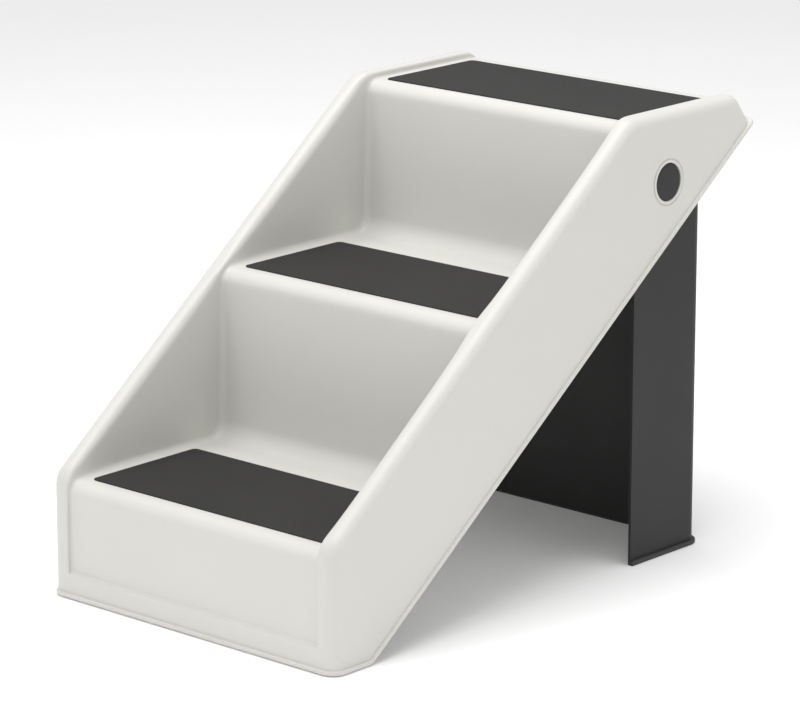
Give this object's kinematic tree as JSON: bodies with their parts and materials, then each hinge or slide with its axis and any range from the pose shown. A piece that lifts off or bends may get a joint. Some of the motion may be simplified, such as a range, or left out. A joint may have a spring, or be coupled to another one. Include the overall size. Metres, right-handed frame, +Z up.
{
  "type": "folding steps",
  "caption": "Folding steps with side rails, non-slip tread mats and a swing-out rear leg that folds flat under the treads for carrying.",
  "frame": {"origin": "on the floor under the middle of the steps' bounding box", "axes": "+X across the steps, +Y from the front edge to the rear, +Z up; the steps are climbed from -Y"},
  "size_m": [0.421, 0.6956, 0.508],
  "materials": {
    "shell_plastic": "satin moulded off-white",
    "mat_rubber": "matt, fine grit",
    "leg_plastic": "fine moulded grain",
    "cap_plastic": "satin",
    "foot_rubber": "matt",
    "bush_plastic": "natural acetal",
    "zinc_steel": "zinc plated"
  },
  "bodies": {
    "steps": {"step_body": "shell_plastic", "tread_mat_lower": "mat_rubber", "tread_mat_middle": "mat_rubber", "tread_mat_upper": "mat_rubber", "hook_bracket": "zinc_steel", "hook_pin": "zinc_steel", "hook_screws": "zinc_steel", "pivot_bolt_right": "zinc_steel", "friction_washer_right": "bush_plastic", "pivot_washer_right": "zinc_steel", "pivot_cap_right": "cap_plastic", "pivot_nut_right": "zinc_steel", "front_foot_right": "foot_rubber", "leg_bumper_right": "foot_rubber", "pivot_bolt_left": "zinc_steel", "friction_washer_left": "bush_plastic", "pivot_washer_left": "zinc_steel", "pivot_cap_left": "cap_plastic", "pivot_nut_left": "zinc_steel", "front_foot_left": "foot_rubber", "leg_bumper_left": "foot_rubber"},
    "leg": {"support_leg": "leg_plastic", "leg_foot_boot": "foot_rubber", "pivot_bush_right": "bush_plastic", "pivot_bush_left": "bush_plastic"},
    "hook": {"storage_hook": "leg_plastic"}
  },
  "joints": [
    {"name": "leg_fold", "type": "hinge", "parent": "steps", "child": "leg", "pos_m": [0, 0.19523, 0.43], "axis": [-1, 0, 0], "range_deg": [0, 53.3]},
    {"name": "hook_swing", "type": "hinge", "parent": "steps", "child": "hook", "pos_m": [0, -0.15277, 0.1105], "axis": [1, 0, 0], "range_deg": [0, 175]}
  ]
}
